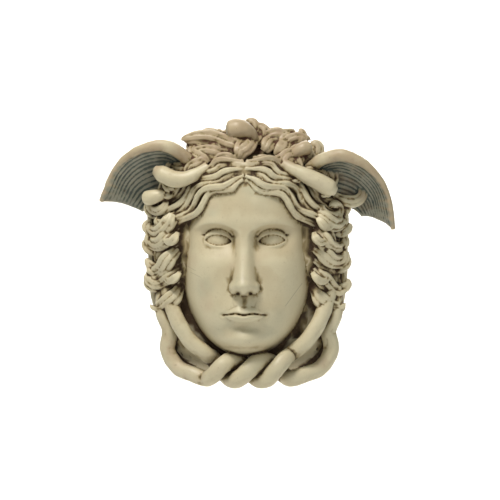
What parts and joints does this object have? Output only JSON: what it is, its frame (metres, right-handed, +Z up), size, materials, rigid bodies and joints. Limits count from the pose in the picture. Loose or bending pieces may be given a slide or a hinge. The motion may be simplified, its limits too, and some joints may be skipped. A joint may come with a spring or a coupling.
{
  "type": "gorgon mask",
  "caption": "Cast wall mask of a calm face with wings at the temples, wavy parted hair, curls, and two snakes knotted under the chin.",
  "frame": {"origin": "on the flat back, on its centre line, between the hanging recess and the hollow", "axes": "+Z up, +X to the right as seen from the front, +Y into the wall; the mask faces -Y"},
  "size_m": [0.3352, 0.1021, 0.3],
  "materials": {
    "plaster": "matte cast plaster, toned cream, with brown in the hollows of the carving"
  },
  "bodies": {
    "root": {"mask": "plaster"}
  },
  "joints": []
}
